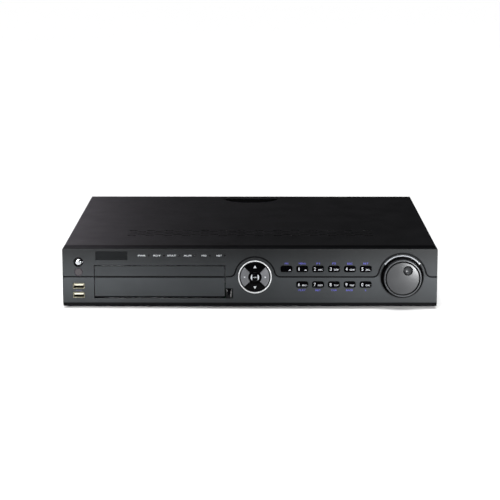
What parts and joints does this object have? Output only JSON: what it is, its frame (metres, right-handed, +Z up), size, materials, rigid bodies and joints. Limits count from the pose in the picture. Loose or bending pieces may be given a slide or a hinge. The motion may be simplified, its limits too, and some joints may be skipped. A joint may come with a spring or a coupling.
{
  "type": "dvr recorder",
  "caption": "Rack-width digital video recorder with drive flap, direction pad, number keys, jog and shuttle dial, slotted steel cover and rear connector panel.",
  "frame": {"origin": "centre of the bounding box, on the floor under the feet", "axes": "+X to the right seen from the front, +Y from the front to the back, +Z up"},
  "size_m": [0.445, 0.411, 0.073],
  "materials": {
    "bezel_grey": "cool grey painted moulding, fine satin texture",
    "cover_paint": "black powder coat, satin",
    "sheet_steel": "plated sheet",
    "gloss_black": "polished black",
    "chrome_trim": "polished plating",
    "dial_grey": "satin metallic grey paint",
    "silver_cap": "silver plated cap",
    "nickel_shell": "nickel plated shells",
    "smoked_window": "smoked infrared window",
    "dark_trim": "dark gloss",
    "board_green": "printed circuit board",
    "heatsink_aluminium": "natural",
    "black_plastic": "moulded black",
    "terminal_green": "moulded green",
    "foot_rubber": "moulded black"
  },
  "bodies": {
    "chassis": {"front_bezel": "bezel_grey", "ir_window": "smoked_window", "usb_port_upper": "nickel_shell", "usb_port_lower": "nickel_shell", "name_plate": "dark_trim", "indicator_light_guide": "dark_trim", "nav_ring": "chrome_trim", "nav_base": "gloss_black", "jog_well": "black_plastic", "front_control_board": "board_green", "front_io_board": "board_green", "optical_drive": "sheet_steel", "disc_tray": "black_plastic", "chassis_base": "sheet_steel", "front_subpanel": "sheet_steel", "top_cover": "cover_paint", "cover_screw_1": "chrome_trim", "cover_screw_2": "chrome_trim", "rear_panel": "cover_paint", "connector_panel": "cover_paint", "video_input_block": "nickel_shell", "audio_jack_block": "nickel_shell", "vga_port": "nickel_shell", "hdmi_port": "nickel_shell", "network_port": "nickel_shell", "alarm_terminal_block": "terminal_green", "power_inlet": "black_plastic", "fan_frame": "black_plastic", "main_board": "board_green", "processor_heatsink": "heatsink_aluminium", "hard_drive_1": "heatsink_aluminium", "hard_drive_2": "heatsink_aluminium", "power_supply": "sheet_steel", "foot_front_left": "foot_rubber", "foot_front_right": "foot_rubber", "foot_rear_left": "foot_rubber", "foot_rear_right": "foot_rubber"},
    "drive_flap_body": {"drive_flap": "bezel_grey"},
    "power_button_body": {"power_button": "silver_cap"},
    "eject_button_body": {"eject_button": "gloss_black"},
    "key_shift_body": {"key_shift": "gloss_black"},
    "key_1_body": {"key_1": "gloss_black"},
    "key_2_body": {"key_2": "gloss_black"},
    "key_3_body": {"key_3": "gloss_black"},
    "key_4_body": {"key_4": "gloss_black"},
    "key_5_body": {"key_5": "gloss_black"},
    "key_6_body": {"key_6": "gloss_black"},
    "key_7_body": {"key_7": "gloss_black"},
    "key_8_body": {"key_8": "gloss_black"},
    "key_9_body": {"key_9": "gloss_black"},
    "key_0_body": {"key_0": "gloss_black"},
    "nav_up_body": {"nav_up": "gloss_black"},
    "nav_down_body": {"nav_down": "gloss_black"},
    "nav_left_body": {"nav_left": "gloss_black"},
    "nav_right_body": {"nav_right": "gloss_black"},
    "enter_button_body": {"enter_button": "gloss_black"},
    "shuttle_ring_body": {"shuttle_ring": "dial_grey"},
    "jog_dial_body": {"jog_dial": "dial_grey"},
    "fan_rotor_body": {"fan_rotor": "black_plastic"},
    "power_switch_body": {"power_switch": "black_plastic"}
  },
  "joints": [
    {"name": "drive_flap_hinge", "type": "hinge", "parent": "chassis", "child": "drive_flap_body", "pos_m": [-0.10705, -0.1923, 0.0162], "axis": [1, 0, 0], "range_deg": [0, 90], "stiffness_Nm_per_rad": 0.004, "springref_deg": -45.84},
    {"name": "power_button_press", "type": "slide", "parent": "chassis", "child": "power_button_body", "axis": [0, 1, 0], "range_m": [0, 0.001], "stiffness_N_per_m": 800, "springref_m": -0.0006},
    {"name": "eject_button_press", "type": "slide", "parent": "chassis", "child": "eject_button_body", "axis": [0, 1, 0], "range_m": [0, 0.001], "stiffness_N_per_m": 800, "springref_m": -0.0006},
    {"name": "key_shift_press", "type": "slide", "parent": "chassis", "child": "key_shift_body", "axis": [0, 1, 0], "range_m": [0, 0.001], "stiffness_N_per_m": 800, "springref_m": -0.0006},
    {"name": "key_1_press", "type": "slide", "parent": "chassis", "child": "key_1_body", "axis": [0, 1, 0], "range_m": [0, 0.001], "stiffness_N_per_m": 800, "springref_m": -0.0006},
    {"name": "key_2_press", "type": "slide", "parent": "chassis", "child": "key_2_body", "axis": [0, 1, 0], "range_m": [0, 0.001], "stiffness_N_per_m": 800, "springref_m": -0.0006},
    {"name": "key_3_press", "type": "slide", "parent": "chassis", "child": "key_3_body", "axis": [0, 1, 0], "range_m": [0, 0.001], "stiffness_N_per_m": 800, "springref_m": -0.0006},
    {"name": "key_4_press", "type": "slide", "parent": "chassis", "child": "key_4_body", "axis": [0, 1, 0], "range_m": [0, 0.001], "stiffness_N_per_m": 800, "springref_m": -0.0006},
    {"name": "key_5_press", "type": "slide", "parent": "chassis", "child": "key_5_body", "axis": [0, 1, 0], "range_m": [0, 0.001], "stiffness_N_per_m": 800, "springref_m": -0.0006},
    {"name": "key_6_press", "type": "slide", "parent": "chassis", "child": "key_6_body", "axis": [0, 1, 0], "range_m": [0, 0.001], "stiffness_N_per_m": 800, "springref_m": -0.0006},
    {"name": "key_7_press", "type": "slide", "parent": "chassis", "child": "key_7_body", "axis": [0, 1, 0], "range_m": [0, 0.001], "stiffness_N_per_m": 800, "springref_m": -0.0006},
    {"name": "key_8_press", "type": "slide", "parent": "chassis", "child": "key_8_body", "axis": [0, 1, 0], "range_m": [0, 0.001], "stiffness_N_per_m": 800, "springref_m": -0.0006},
    {"name": "key_9_press", "type": "slide", "parent": "chassis", "child": "key_9_body", "axis": [0, 1, 0], "range_m": [0, 0.001], "stiffness_N_per_m": 800, "springref_m": -0.0006},
    {"name": "key_0_press", "type": "slide", "parent": "chassis", "child": "key_0_body", "axis": [0, 1, 0], "range_m": [0, 0.001], "stiffness_N_per_m": 800, "springref_m": -0.0006},
    {"name": "nav_up_press", "type": "slide", "parent": "chassis", "child": "nav_up_body", "axis": [0, 1, 0], "range_m": [0, 0.001], "stiffness_N_per_m": 800, "springref_m": -0.0006},
    {"name": "nav_down_press", "type": "slide", "parent": "chassis", "child": "nav_down_body", "axis": [0, 1, 0], "range_m": [0, 0.001], "stiffness_N_per_m": 800, "springref_m": -0.0006},
    {"name": "nav_left_press", "type": "slide", "parent": "chassis", "child": "nav_left_body", "axis": [0, 1, 0], "range_m": [0, 0.001], "stiffness_N_per_m": 800, "springref_m": -0.0006},
    {"name": "nav_right_press", "type": "slide", "parent": "chassis", "child": "nav_right_body", "axis": [0, 1, 0], "range_m": [0, 0.001], "stiffness_N_per_m": 800, "springref_m": -0.0006},
    {"name": "enter_button_press", "type": "slide", "parent": "chassis", "child": "enter_button_body", "axis": [0, 1, 0], "range_m": [0, 0.001], "stiffness_N_per_m": 800, "springref_m": -0.0006},
    {"name": "shuttle_turn", "type": "hinge", "parent": "chassis", "child": "shuttle_ring_body", "pos_m": [0.1808, -0.1945, 0.0392], "axis": [0, 1, 0], "range_deg": [-60, 60], "stiffness_Nm_per_rad": 0.02},
    {"name": "jog_spin", "type": "hinge", "parent": "chassis", "child": "jog_dial_body", "pos_m": [0.1808, -0.1945, 0.0392], "axis": [0, 1, 0], "continuous": true},
    {"name": "fan_spin", "type": "hinge", "parent": "chassis", "child": "fan_rotor_body", "pos_m": [-0.08, 0.1855, 0.036], "axis": [0, 1, 0], "continuous": true},
    {"name": "power_switch_rock", "type": "hinge", "parent": "chassis", "child": "power_switch_body", "pos_m": [-0.156, 0.1939, 0.026], "axis": [1, 0, 0], "range_deg": [-20, 0]}
  ]
}
